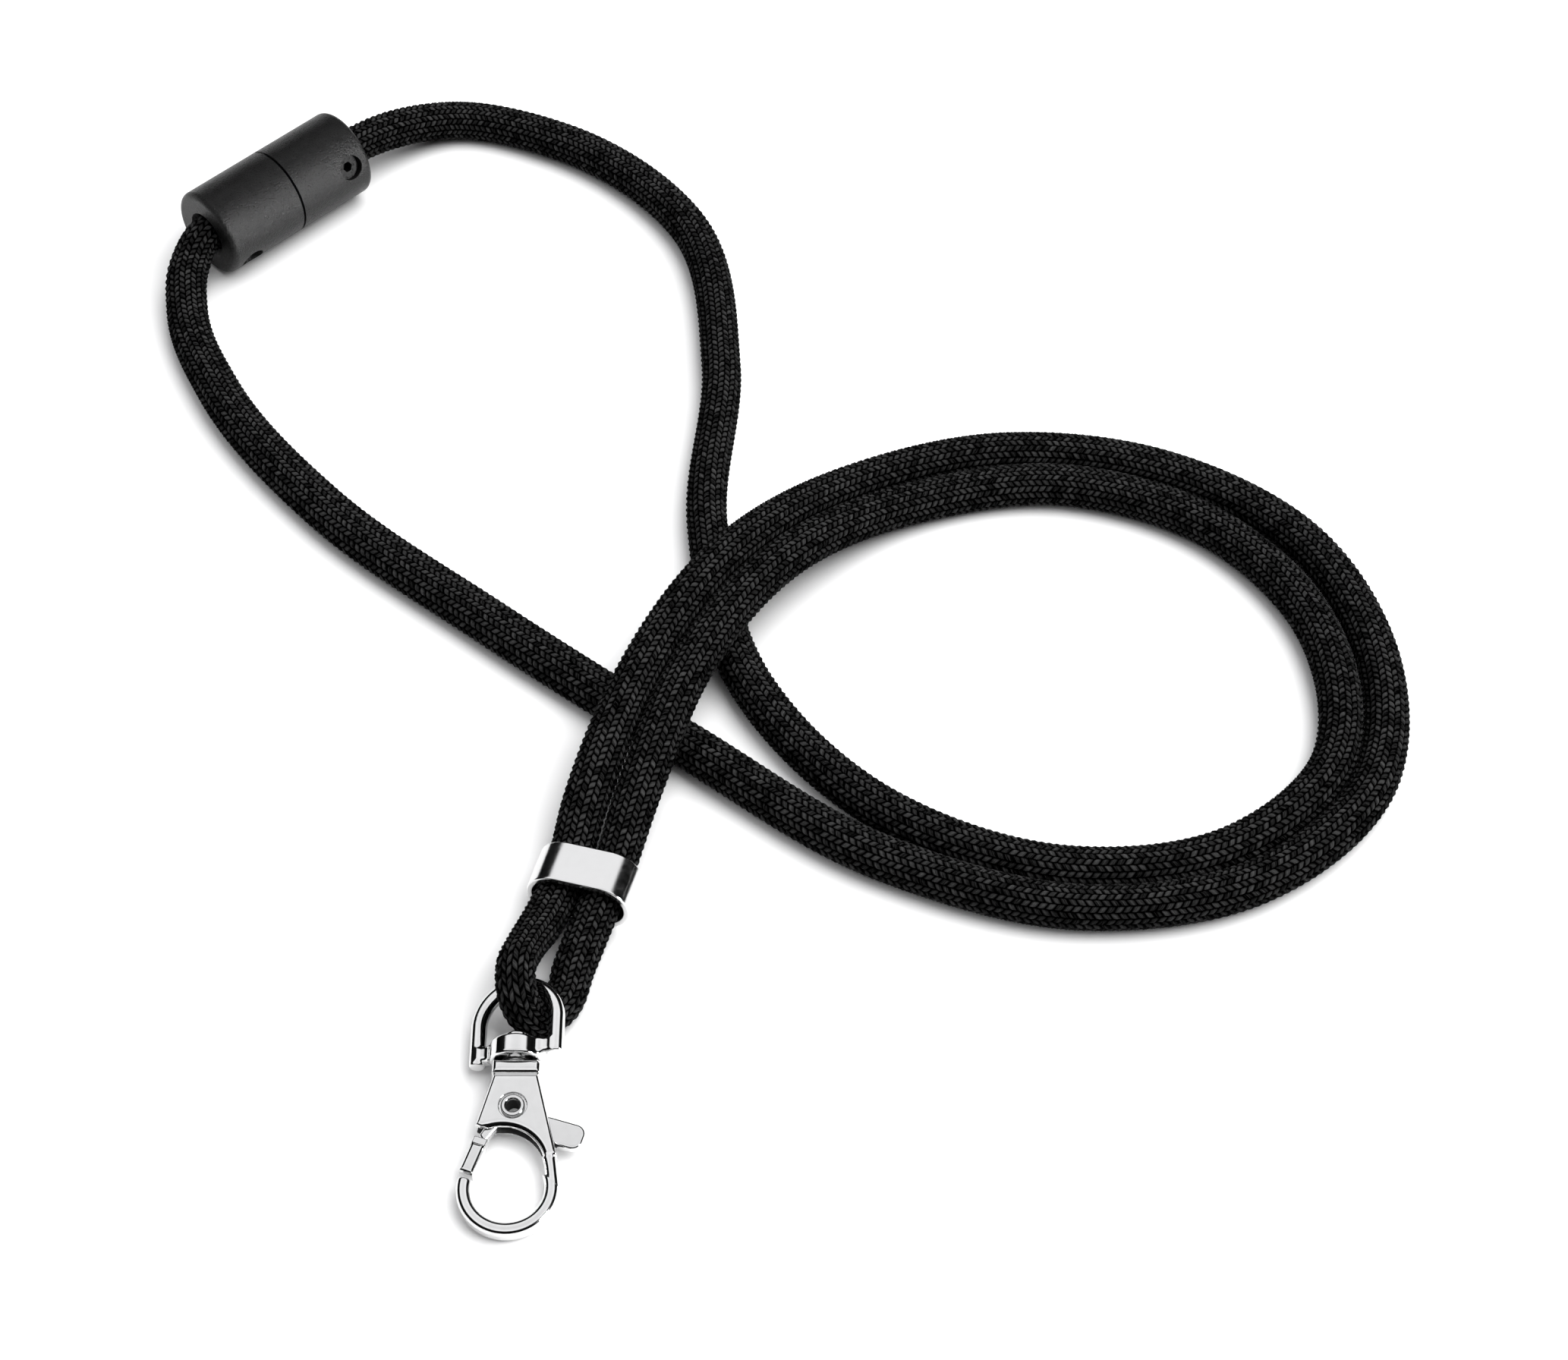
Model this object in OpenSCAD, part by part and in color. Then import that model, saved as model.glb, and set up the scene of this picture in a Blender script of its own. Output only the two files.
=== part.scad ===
// Neck lanyard lying in a loose loop: round braided cord, breakaway barrel connector,
// flat cord ring, and a swivel snap hook with a sprung gate. Millimetres, +Z up.
// The loop lies on the plane z = 0. +X runs right across the loop, +Y away from the hook.

/* [Cord] */
// Diameter of the round braided cord where it lies free
cord_d = 6; // [5.8:0.05:6]
// Diameter of the cord where it is folded through the swivel eye
cord_bend_d = 5; // [4.8:0.1:5]

/* [Breakaway connector] */
// Outside diameter of both connector halves
release_d = 14; // [13.6:0.1:14]
// Length of the two halves together
release_len = 28; // [27:0.5:29]
// Width of the shadow gap between the halves
release_gap = 0.4; // [0.3:0.05:0.5]
// Diameter of the snap prong
prong_d = 7.6; // [7:0.1:7.8]
// Length of the snap prong beyond its half
prong_len = 5.6; // [5:0.1:6]

/* [Cord ring] */
// Length of the ring along the cord
band_len = 6.3; // [5.5:0.1:7]
// Wall of the ring
band_wall = 0.9; // [0.7:0.05:1]

/* [Snap hook] */
// Thickness of the hook plate over both cheeks
hook_t = 3.2; // [3.1:0.05:3.3]
// Thickness of the ring part of the hook
hook_ring_t = 2.7; // [2.5:0.05:2.8]
// Diameter of the bar that forms the swivel eye
eye_bar_d = 2; // [1.8:0.05:2]
// Length of the thumb tab beyond the plate
tab_len = 4.3; // [3:0.1:5]

/* [Hidden] */
$fn = 96;

// Origin of the part, in the layout's own coordinates
part_origin = [-57.5, 9.7, 0];

// Centreline of the cord from the socket half, round the loop, through the eye and back
// to the plug half: [x, y, z, share of the free cord's diameter]
route = [
    [-85.5, 89.8, 7, 0.92], [-88, 87.3, 7, 0.92], [-90.5, 84.8, 7, 0.94], [-92.8, 79.5, 4.9, 1],
    [-92.4, 72, 3.4, 1], [-85.6, 54.8, 3.1, 1], [-67.9, 31.2, 3, 1], [-41.8, 8.5, 3, 1],
    [-13.5, -13.9, 3, 1], [14, -33.7, 3, 1], [40, -41.5, 3, 1], [62.9, -37.3, 3, 1],
    [80.2, -21.3, 3, 1], [83.7, 0, 3, 1], [75.2, 24.1, 3, 1], [55.7, 38.1, 3, 1],
    [32, 41.4, 3.1, 1], [10, 34, 4, 1], [-7.8, 16, 9, 1], [-20.9, -9, 9.5, 1],
    [-26.5, -26.5, 7, 1], [-29.3, -37.6, 3.8, 0.93], [-31.7, -45.4, 4.9, 0.9], [-33.6, -51.5, 7.5, 0.87],
    [-34.3, -55.2, 8.9, 0.87], [-34.1, -58.2, 8, 0.87], [-33.1, -59.7, 5.5, 0.87], [-31.5, -59.4, 3.3, 0.87],
    [-29, -57, 2.55, 0.87], [-27.3, -51, 2.9, 0.9], [-25.5, -45, 3.2, 0.92], [-23.5, -39.2, 3.8, 0.93],
    [-19.4, -25, 7.4, 1], [-12.6, -5, 9.4, 1], [0.5, 16.2, 8.2, 1], [18.9, 31, 3.5, 1],
    [41, 35.2, 3.05, 1], [61.8, 27, 3, 1], [75.4, 7.8, 3, 1], [74.6, -18.4, 3, 1],
    [60, -31.8, 3, 1], [38, -35.1, 3, 1], [14.3, -25.8, 3, 1], [-4.3, -3.8, 3, 1],
    [-11.2, 27, 3, 1], [-9.6, 60, 3, 1], [-15.4, 91.6, 3, 1], [-36, 111.6, 3.1, 1],
    [-54, 116.6, 3.4, 1], [-64, 111.1, 5.8, 1], [-70.5, 104.8, 7, 0.94], [-73, 102.3, 7, 0.92],
    [-75.5, 99.8, 7, 0.92]];
cord_sides = 10;
// A stretch longer than this gets one more ring in its middle
long_stretch = 14;
// Share below which a point belongs to the fold through the eye
fold_share = 0.88;

function pos(i) = [route[i][0], route[i][1], route[i][2]];
function gap(i) = norm(pos(i + 1) - pos(i));
function way(i) = (pos(i + 1) - pos(i)) / gap(i);
last = len(route) - 1;
function lean(i) = i == 0 ? way(0)
    : i == last ? way(last - 1)
    : (way(i) * gap(i - 1) + way(i - 1) * gap(i)) / (gap(i) + gap(i - 1));
function along(i, t) = (2 * pow(t, 3) - 3 * t * t + 1) * pos(i)
    + (pow(t, 3) - 2 * t * t + t) * gap(i) * lean(i)
    + (3 * t * t - 2 * pow(t, 3)) * pos(i + 1)
    + (pow(t, 3) - t * t) * gap(i) * lean(i + 1);
function heading(i, t) = (6 * t * t - 6 * t) * (pos(i) - pos(i + 1))
    + (3 * t * t - 4 * t + 1) * gap(i) * lean(i)
    + (3 * t * t - 2 * t) * gap(i) * lean(i + 1);
function unit(v) = v / norm(v);
function thick(i) = route[i][3] < fold_share ? cord_bend_d / 2 : route[i][3] * cord_d / 2;
// One ring of the tube: its centre, its direction and its radius
stations = concat([for (i = [0:last - 1])
    for (t = gap(i) > long_stretch ? [0, 0.5] : [0])
        [along(i, t), unit(heading(i, t)), thick(i) * (1 - t) + thick(i + 1) * t]],
    [[pos(last), way(last - 1), thick(last)]]);
rings = len(stations);
function level(n, d) = unit(n - (n * d) * d);
// A side direction carried along the tube without twist
sides_at = [for (i = 0, n = level([0, 0, 1], stations[0][1]); i < rings;
    i = i + 1, n = i < rings ? level(n, stations[i][1]) : n) n];

// Connector, in its own frame: +X towards the plug half, the seam at x = 0
release_pos = [-80.4, 94.9, 7];
release_turn = 45;
half_len = release_len / 2;
edge_round = 0.9;
cord_bore_d = 6.2;
cord_bore_len = 7.2;
mouth_d = 7.4;
mouth_len = 0.8;
prong_clear = 0.05;
snap_rise = 0.2;
snap_pos = 3.6;
snap_r = 0.5;
screw_d = 3.9;
screw_clear = 0.05;
screw_sink = 1.1;
screw_tip = 3.2;
hex_key = 1.5;
hex_depth = 1.6;
plug_screw_x = 10.3;
plug_screw_turn = 22;
socket_screw_x = -10.2;
socket_screw_turn = -33;

// Cord ring
band_pos = [-26.4, -38.7, 4.25];
band_turn = -15;
band_w = 14.2;
band_h = 8.4;

// Hook, in its own frame: origin on the gate's pivot, +Y towards the swivel, Z across the plate
hook_pos = [-34, -73.1, 3.2];
hook_pitch = 6;
slot_t = 1.7;
slot_top = 2.3;
slot_low = -6.6;
arch_pos = [-1.2, -8.1];
arch_r = 5.25;
bowl_pos = [-0.2, -10.9];
bowl_r = 4.55;
bowl_out_r = 6.4;
nose_turn = 167;
collar = [5.8, 1.65, 3.8];
collar_pos = [0.2, 5.35, 0];
neck_d = 4;
neck_top = 6.6;
rivet_d = 2.2;
rivet_clear = 0.05;
rivet_head_d = 3.4;
rivet_root = 3.2;
rivet_head_low = 9.7;
rivet_head_top = 10.5;
recess_d = 3.45;
recess_depth = 0.35;
eyelet_d = 2.4;
eyelet_bore_d = 1.85;
eyelet_rim_d = 2.85;
eyelet_rim_t = 0.45;
lever_t = 1.5;
lever_bore_clear = 0.05;
hub_d = 4;
gate_end = [-5.48, -8.97];
gate_root = [-3.87, -4.42];
gate_w = 1.75;
gate_t = 2.6;
shoulder_t = 2.2;
shoulder_w = 1.6;
tab_start = [2.4, -2.2];
tab_way = -17;
tab_w = 3.5;
tab_root_x = 5;
spring_wire_d = 0.35;
spring_r = 1.6;
spring_pocket_d = 4.4;
spring_pocket_depth = 0.85;
spring_leg = 2.3;

// Swivel eye, in its own frame: origin in the base bar on the swivel's axis, +Y to the bow
eye_base_y = 8.55;
eye_roll = 19;
eye_half_w = 5.4;
eye_arm = 3.8;
eye_boss_d = 6.2;
eye_boss_low = -1.75;
eye_boss_top = 0.95;
eye_corner = 2.2;

slack = 0.01;

module placed() {
    translate(-part_origin) children();
}

module on_release() {
    placed() translate(release_pos) rotate([0, 0, release_turn]) children();
}

module on_hook() {
    placed() translate(hook_pos) rotate([hook_pitch, 0, 0]) children();
}

module on_eye() {
    on_hook() translate([0, eye_base_y, 0]) rotate([0, -eye_roll, 0]) children();
}

// A cylinder along +X from x1 to x2
module rod_x(d, x1, x2) {
    translate([x1, 0, 0]) rotate([0, 90, 0]) cylinder(d = d, h = x2 - x1);
}

// A cylinder along +Y from y1 to y2
module rod_y(d, y1, y2) {
    translate([0, y1, 0]) rotate([-90, 0, 0]) cylinder(d = d, h = y2 - y1);
}

module cord() {
    tube = [for (i = [0:rings - 1]) let (s = stations[i], n = sides_at[i], m = cross(s[1], n))
        for (k = [0:cord_sides - 1])
            s[0] + s[2] * (cos(360 * k / cord_sides) * n + sin(360 * k / cord_sides) * m)];
    skin = [for (i = [0:rings - 2]) for (k = [0:cord_sides - 1])
        let (a = i * cord_sides + k, b = i * cord_sides + (k + 1) % cord_sides)
            for (f = [[a, a + cord_sides, b], [b, a + cord_sides, b + cord_sides]]) f];
    ends = [[for (k = [0:cord_sides - 1]) k],
        [for (k = [cord_sides - 1:-1:0]) (rings - 1) * cord_sides + k]];
    color("dimgray") placed() polyhedron(points = tube, faces = concat(skin, ends));
}

module stadium(w, h) {
    for (s = [-1, 1]) translate([s * (w - h) / 2, 0]) circle(d = h);
    square([w - h, h], center = true);
}

module cord_ring() {
    color("silver") placed() translate(band_pos) rotate([0, 0, band_turn])
        translate([0, band_len / 2, 0]) rotate([90, 0, 0])
            linear_extrude(height = band_len)
                difference() {
                    stadium(band_w, band_h);
                    stadium(band_w - 2 * band_wall, band_h - 2 * band_wall);
                }
}

// One connector half as a turned body from the seam at x = 0 to its outer end
module release_half_shell() {
    rotate([0, 90, 0]) rotate_extrude()
        union() {
            square([release_d / 2 - edge_round, half_len]);
            translate([0, release_gap / 2]) square([release_d / 2, half_len - release_gap / 2 - edge_round]);
            translate([release_d / 2 - edge_round, half_len - edge_round]) circle(r = edge_round);
        }
}

module release_cord_bore() {
    rod_x(cord_bore_d, half_len - cord_bore_len, half_len + slack);
    translate([half_len - mouth_len, 0, 0]) rotate([0, 90, 0])
        cylinder(d1 = cord_bore_d, d2 = mouth_d, h = mouth_len + slack);
}

// Radial hole or screw position: x along the axis, turn up from the +X side's right hand
module at_screw(x, turn) {
    translate([x, 0, 0]) rotate([-turn, 0, 0]) rotate([90, 0, 0]) children();
}

module screw_hole(x, turn) {
    at_screw(x, turn) translate([0, 0, screw_tip - 0.5])
        cylinder(d = screw_d + 2 * screw_clear, h = release_d / 2);
}

module set_screw(x, turn) {
    head_top = release_d / 2 - screw_sink;
    on_release() at_screw(x, turn)
        difference() {
            translate([0, 0, screw_tip]) cylinder(d = screw_d, h = head_top - screw_tip);
            translate([0, 0, head_top - hex_depth]) cylinder(d = hex_key / cos(30), h = hex_depth + slack, $fn = 6);
        }
}

module release_socket() {
    socket_d = prong_d + 2 * (snap_rise + prong_clear);
    color("black") on_release()
        difference() {
            mirror([1, 0, 0]) release_half_shell();
            mirror([1, 0, 0]) release_cord_bore();
            rod_x(socket_d, -prong_len - 0.3, slack);
            translate([-snap_pos, 0, 0]) rotate([0, 90, 0]) rotate_extrude()
                translate([prong_d / 2, 0]) circle(r = snap_r + prong_clear);
            screw_hole(socket_screw_x, socket_screw_turn);
            translate([-release_gap / 2, -release_d, -release_d]) cube(2 * release_d);
        }
}

module release_plug() {
    color("black") on_release()
        difference() {
            union() {
                release_half_shell();
                rod_x(prong_d, -prong_len, slack);
                translate([-snap_pos, 0, 0]) rotate([0, 90, 0]) rotate_extrude()
                    translate([prong_d / 2 + snap_rise - snap_r, 0]) circle(r = snap_r);
            }
            release_cord_bore();
            screw_hole(plug_screw_x, plug_screw_turn);
        }
}

module socket_screw() {
    color("dimgray") set_screw(socket_screw_x, socket_screw_turn);
}

module plug_screw() {
    color("dimgray") set_screw(plug_screw_x, plug_screw_turn);
}

module swivel_eye() {
    color("silver") on_eye()
        difference() {
            union() {
                rod_y(eye_boss_d, eye_boss_low, eye_boss_top);
                rod_x(eye_bar_d, -eye_half_w, eye_half_w);
                for (s = [-1, 1]) {
                    translate([s * eye_half_w, 0, 0]) rod_y(eye_bar_d, 0, eye_arm);
                    translate([s * eye_half_w, 0, 0]) cube([eye_corner, eye_corner, eye_bar_d], center = true);
                }
                translate([0, eye_arm, 0]) rotate_extrude(angle = 180)
                    translate([eye_half_w, 0]) circle(d = eye_bar_d);
            }
            rod_y(rivet_d + 2 * rivet_clear, -eye_boss_d, eye_boss_d);
        }
}

module swivel_rivet() {
    color("gainsboro") on_hook() {
        rod_y(rivet_d, rivet_root, rivet_head_low);
        rod_y(rivet_head_d, rivet_head_low, rivet_head_top);
    }
}

// Outline of the plate and the bar on the thumb side, before the opening is cut
module plate_outline() {
    polygon([[-2.7, 4.6], [2.95, 4.6], [4.6, -2.5], [5.6, -6.6], [6.2, -10.9], [4.4, -10.9],
        [2.4, -4.9], [-3.1, -3.1], [-4.4, -2.5]]);
}

module hook_opening() {
    translate(arch_pos) circle(r = arch_r);
    translate(bowl_pos) circle(r = bowl_r);
    polygon([[-3, -10.9], [4.35, -10.9], [4.05, -8.1], [-3, -8.1]]);
}

module hook_body() {
    color("silver") on_hook()
        difference() {
            union() {
                linear_extrude(height = hook_t, center = true)
                    difference() {
                        intersection() {
                            plate_outline();
                            translate([-8, slot_low]) square([16, 12]);
                        }
                        hook_opening();
                    }
                linear_extrude(height = hook_ring_t, center = true)
                    difference() {
                        plate_outline();
                        hook_opening();
                    }
                translate(bowl_pos) rotate([0, 0, nose_turn]) rotate_extrude(angle = 360 - nose_turn)
                    translate([(bowl_r + bowl_out_r) / 2, 0]) rotate([0, 0, 90])
                        stadium(hook_ring_t, bowl_out_r - bowl_r);
                translate(collar_pos) cube(collar, center = true);
                rod_y(neck_d, collar_pos[1], neck_top);
            }
            // Slot between the two cheeks, open on both sides
            translate([-8, slot_low, -slot_t / 2]) cube([16, slot_top - slot_low, slot_t]);
            rod_y(rivet_d + 0.04, rivet_root, neck_top + slack);
            cylinder(d = eyelet_d, h = 2 * hook_t, center = true);
            for (s = [-1, 1]) translate([0, 0, s * hook_t / 2])
                cylinder(d = recess_d, h = 2 * recess_depth, center = true);
        }
}

// Point at a share of the way from the gate's root to its end, and off its middle line
function gate_at(share, off) = let (g = gate_end - gate_root, n = [-g[1], g[0]] / norm(g))
    gate_root + share * g - off * n;

module gate_bar_outline(from, to, w) {
    polygon([gate_at(from, w / 2), gate_at(to, w / 2), gate_at(to, -w / 2), gate_at(from, -w / 2)]);
}

module tab_outline() {
    reach = tab_root_x + tab_len - tab_start[0];
    translate(tab_start) rotate([0, 0, tab_way]) {
        translate([0, -tab_w / 2]) square([reach - tab_w / 2, tab_w]);
        translate([reach - tab_w / 2, 0]) circle(d = tab_w);
    }
}

module gate_lever() {
    color("gainsboro") on_hook()
        difference() {
            union() {
                cylinder(d = hub_d, h = lever_t, center = true);
                linear_extrude(height = lever_t, center = true) tab_outline();
                linear_extrude(height = lever_t, center = true)
                    polygon([[-1.7, 0.7], [-4.1, -3.6], [-3.4, -4.9], [1.5, -3.2], [2.9, -1.3]]);
                linear_extrude(height = shoulder_t, center = true) gate_bar_outline(-0.06, 0.2, shoulder_w);
                linear_extrude(height = gate_t, center = true) gate_bar_outline(0.12, 1, gate_w);
            }
            cylinder(d = eyelet_d + 2 * lever_bore_clear, h = 2 * lever_t, center = true);
            translate([0, 0, -lever_t / 2 - slack]) cylinder(d = spring_pocket_d, h = spring_pocket_depth + slack);
        }
}

module gate_pivot() {
    color("gainsboro") on_hook()
        difference() {
            union() {
                cylinder(d = eyelet_d, h = hook_t - 2 * recess_depth + slack, center = true);
                for (s = [-1, 1]) translate([0, 0, s * (hook_t / 2 - recess_depth + eyelet_rim_t / 2)])
                    cylinder(d = eyelet_rim_d, h = eyelet_rim_t, center = true);
            }
            cylinder(d = eyelet_bore_d, h = 2 * hook_t, center = true);
        }
}

module gate_spring() {
    spring_low = -lever_t / 2 + 0.05;
    color("goldenrod") on_hook() translate([0, 0, spring_low + spring_wire_d / 2]) {
        for (k = [0, 1]) translate([0, 0, k * spring_wire_d]) rotate_extrude()
            translate([spring_r, 0]) circle(d = spring_wire_d, $fn = 24);
    }
}

cord();
cord_ring();
release_socket();
release_plug();
socket_screw();
plug_screw();
swivel_eye();
swivel_rivet();
hook_body();
gate_lever();
gate_pivot();
gate_spring();
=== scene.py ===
# Neck lanyard: braided cord, breakaway barrel, cord ring and swivel snap hook, lying on a pale table.
# Lengths are millimetres in the part's own layout unless a name ends in _M, which is metres.
import math

import bpy
import numpy as np
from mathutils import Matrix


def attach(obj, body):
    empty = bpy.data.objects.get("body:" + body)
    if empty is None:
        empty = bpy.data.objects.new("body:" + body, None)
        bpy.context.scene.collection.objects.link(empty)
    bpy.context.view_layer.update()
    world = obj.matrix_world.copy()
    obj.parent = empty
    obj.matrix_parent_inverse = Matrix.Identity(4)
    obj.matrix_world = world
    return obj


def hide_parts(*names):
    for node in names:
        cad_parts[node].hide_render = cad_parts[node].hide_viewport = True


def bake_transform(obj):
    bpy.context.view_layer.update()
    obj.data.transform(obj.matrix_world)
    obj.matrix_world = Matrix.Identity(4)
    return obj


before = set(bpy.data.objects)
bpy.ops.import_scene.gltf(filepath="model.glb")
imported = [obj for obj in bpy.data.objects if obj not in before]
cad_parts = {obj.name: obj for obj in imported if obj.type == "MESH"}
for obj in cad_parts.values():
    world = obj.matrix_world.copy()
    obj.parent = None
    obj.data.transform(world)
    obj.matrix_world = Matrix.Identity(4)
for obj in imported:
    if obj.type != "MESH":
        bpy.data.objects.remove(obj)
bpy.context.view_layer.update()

MM = 0.001
PART_ORIGIN = np.array([-57.5, 9.7, 0.0])  # the part's origin in layout coordinates

# Camera: where it stands, how far it is tilted up from straight down, and its lens
CAMERA_POS = (0, -288.0, 345.7)
CAMERA_TILT = math.radians(39.8)
CAMERA_LENS, CAMERA_SENSOR = 73.2, 36

# Brightness round the scene against height, 0 straight down, 0.5 level and 1 straight up
SKY = [(0.0, 0.0), (0.61, 0.01), (0.7, 1.15), (0.84, 1.15), (1.0, 0.95)]
TABLE_HALF_M = 3.0

CORD_D = 6.0
PICK = 1.08  # length of one braid pick along the cord
COLUMNS = 20  # columns of picks round the cord, slanting in turn to the left and to the right
PER_PICK = 3  # mesh steps per pick, along and across
SLANT = 0.55  # picks an edge of a column lies ahead of its middle
RELIEF = 0.36  # how far a pick stands above the groove beside it

# Route of the cord: x, y, z, diameter as a share of CORD_D, and how much wider than round it lies
ROUTE = [
    (-85.5, 89.8, 7, 0.92, 1), (-88, 87.3, 7, 0.92, 1), (-90.5, 84.8, 7, 0.94, 1),
    (-92.8, 79.5, 4.9, 1, 1.02), (-92.4, 72, 3.4, 1, 1.04), (-85.6, 54.8, 3.1, 1, 1.08),
    (-67.9, 31.2, 3, 1.02, 1.13), (-41.8, 8.5, 3, 1.02, 1.14), (-13.5, -13.9, 3, 1.02, 1.07),
    (14, -33.7, 3, 1, 1.05), (40, -41.5, 3, 1, 1.03), (62.9, -37.3, 3, 1, 1.02),
    (80.2, -21.3, 3, 1, 1.02), (83.7, 0, 3, 1, 1.02), (75.2, 24.1, 3, 1, 1.02),
    (55.7, 38.1, 3, 1, 1.02), (32, 41.4, 3.1, 1, 1.02), (10, 34, 4, 1, 1.02),
    (-7.8, 16, 9, 1, 1.02), (-20.9, -9, 9.5, 1, 1.02), (-26.5, -26.5, 7, 1, 1.03),
    (-29.3, -37.6, 3.8, 0.93, 1.01), (-31.7, -45.4, 4.9, 0.94, 1), (-33.6, -51.5, 7.5, 0.85, 1),
    (-34.3, -55.2, 8.9, 0.85, 1), (-34.1, -58.2, 8, 0.85, 1), (-33.1, -59.7, 5.5, 0.85, 1),
    (-31.5, -59.4, 3.3, 0.85, 1), (-29, -57, 2.55, 0.85, 1), (-27.3, -51, 2.9, 0.92, 1),
    (-25.5, -45, 3.2, 0.94, 1), (-23.5, -39.2, 3.8, 0.93, 1), (-19.4, -25, 7.4, 1, 1.03),
    (-12.6, -5, 9.4, 1, 1.02), (0.5, 16.2, 8.2, 1, 1.04), (18.9, 31, 3.5, 1, 1.08),
    (41, 35.2, 3.05, 1, 1.1), (61.8, 27, 3, 1, 1.06), (75.4, 7.8, 3, 1, 1.02),
    (74.6, -18.4, 3, 1, 1.02), (60, -31.8, 3, 1, 1.02), (38, -35.1, 3, 1, 1.02),
    (14.3, -25.8, 3, 1, 1.02), (-4.3, -3.8, 3, 1, 1.03), (-11.2, 27, 3, 0.98, 0.99),
    (-9.6, 60, 3, 0.98, 0.99), (-15.4, 91.6, 3, 1, 1.02), (-36, 111.6, 3.1, 1, 1.06),
    (-54, 116.6, 3.4, 1, 1.05), (-64, 111.1, 5.8, 1, 1.02), (-70.5, 104.8, 7, 0.94, 1),
    (-73, 102.3, 7, 0.92, 1), (-75.5, 99.8, 7, 0.92, 1)]

CURVE_STEPS = 60  # steps of the smooth line between two route points
TABLE_GAP = 0.02  # lowest height of the braid above the table

# Cord ring: +Y along the cord
BAND_POS = np.array([-26.4, -38.7, 4.25])
BAND_TURN = math.radians(-15)
BAND_LEN, BAND_W, BAND_H, BAND_WALL = 6.3, 14.2, 8.4, 0.9

# Hook, in its own frame: origin on the gate's pivot, +Y towards the swivel, Z across the plate
HOOK_POS = np.array([-34.0, -73.1, 3.2])
HOOK_PITCH = math.radians(6)
HOOK_T = 3.2
HOOK_RING_T = 2.7
EYE_Y = 8.55
EYE_ROLL = math.radians(19)

# Hook outlines
ARCH_POS, ARCH_R = (-1.2, -8.1), 5.25
BOWL_POS, BOWL_R, BOWL_OUT_R = (-0.2, -10.9), 4.55, 6.4
SLOT_T, SLOT_TOP, SLOT_LOW = 1.7, 2.3, -6.6
RIM_W = 0.55
NOSE_TURN = math.radians(167)
NOSE_CUT_TOP = -7.6
NOSE_OVER = 1.2  # ring left past the nose, for the square cut
RING_UP = 1.8  # how far the ring runs up past the bowl's middle on the thumb side
PLATE = [(-2.55, 4.3), (2.9, 4.3), (4.6, -2.5), (5.6, -6.6), (6.2, -10.9), (4.4, -10.9), (2.4, -4.9),
         (-3.1, -3.1), (-4.4, -2.5)]
COLLAR_X, COLLAR_Y, COLLAR_HALF_W, COLLAR_HALF_H, COLLAR_HALF_T = 0.2, 5.4, 3.1, 1.0, 2.05
NECK_Y, NECK_R, NECK_HALF_H = 5.9, 1.7, 0.7

# Gate lever
GATE_ROOT, GATE_END = np.array([-3.87, -4.42]), np.array([-5.48, -8.97])
GATE_W, GATE_T = 1.9, 2.7
GATE_BAR_FROM = 0.55  # the bar begins this far from its root, where the shoulder ends
SHOULDER_FROM, SHOULDER_TO, SHOULDER_HALF_T = -0.3, 1.2, 1.08
WEB = [(-1.7, 0.7), (-4.1, -3.6), (-3.4, -4.7), (-1.6, -2.2), (1.5, -1.7), (2.9, -1.3)]
HUB_R, WEB_HALF_T = 2.0, 0.75
TAB_POS, TAB_TURN = (2.4, -2.2), math.radians(-17)
TAB_LEN, TAB_HALF_W, TAB_CORNER_R = 6.9, 1.75, 1.35

# Eyelet on which the lever turns
EYELET_D, EYELET_BORE_D, RECESS_D, RECESS_DEPTH = 2.4, 1.85, 3.6, 0.45
EYELET_HALF_LEN, EYELET_RIM_D, EYELET_RIM_R = 1.35, 2.9, 0.32

# Eye, in its own frame: origin in the middle of its boss, +Y towards the cord
EYE_HALF_W, EYE_RISE, EYE_BAR_HALF_W, EYE_BAR_HALF_T = 5.4, 3.8, 1.0, 1.05
EYE_LOW_LEFT, EYE_LOW_RIGHT = -1.7, -1.3
EYE_BASE_Y, EYE_BASE_HALF_H = -0.25, 1.05
BOSS_R, BOSS_Y, BOSS_HALF_H, BOSS_EDGE_R = 3.4, -0.55, 1.35, 0.4
PIN_HOLE_R = 1.15

# Headed pin of the swivel, in the hook's frame
PIN_R, PIN_Y, PIN_HALF_LEN = 1.1, 6.6, 3.3
PIN_HEAD_Y, PIN_HEAD_CORE_R, PIN_HEAD_EDGE_R = 10.08, 1.4, 0.35


def place(points):
    """Layout millimetres to metres in the part's frame."""
    return (np.asarray(points, float) - PART_ORIGIN) * MM


def turn(axis, angle):
    """Rotation matrix about X, Y or Z."""
    c, s = math.cos(angle), math.sin(angle)
    i, j = [(1, 2), (2, 0), (0, 1)]["XYZ".index(axis)]
    m = np.eye(3)
    m[i, i] = m[j, j] = c
    m[i, j], m[j, i] = -s, s
    return m


# ---------------------------------------------------------------- camera and light

def make_camera():
    data = bpy.data.cameras.new("camera")
    data.sensor_fit = "HORIZONTAL"
    data.sensor_width = CAMERA_SENSOR
    data.lens = CAMERA_LENS
    data.clip_start, data.clip_end = 0.01, 20
    camera = bpy.data.objects.new("camera", data)
    camera.location = place(CAMERA_POS)
    camera.rotation_euler = (CAMERA_TILT, 0, 0)
    bpy.context.collection.objects.link(camera)
    bpy.context.scene.camera = camera


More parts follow.
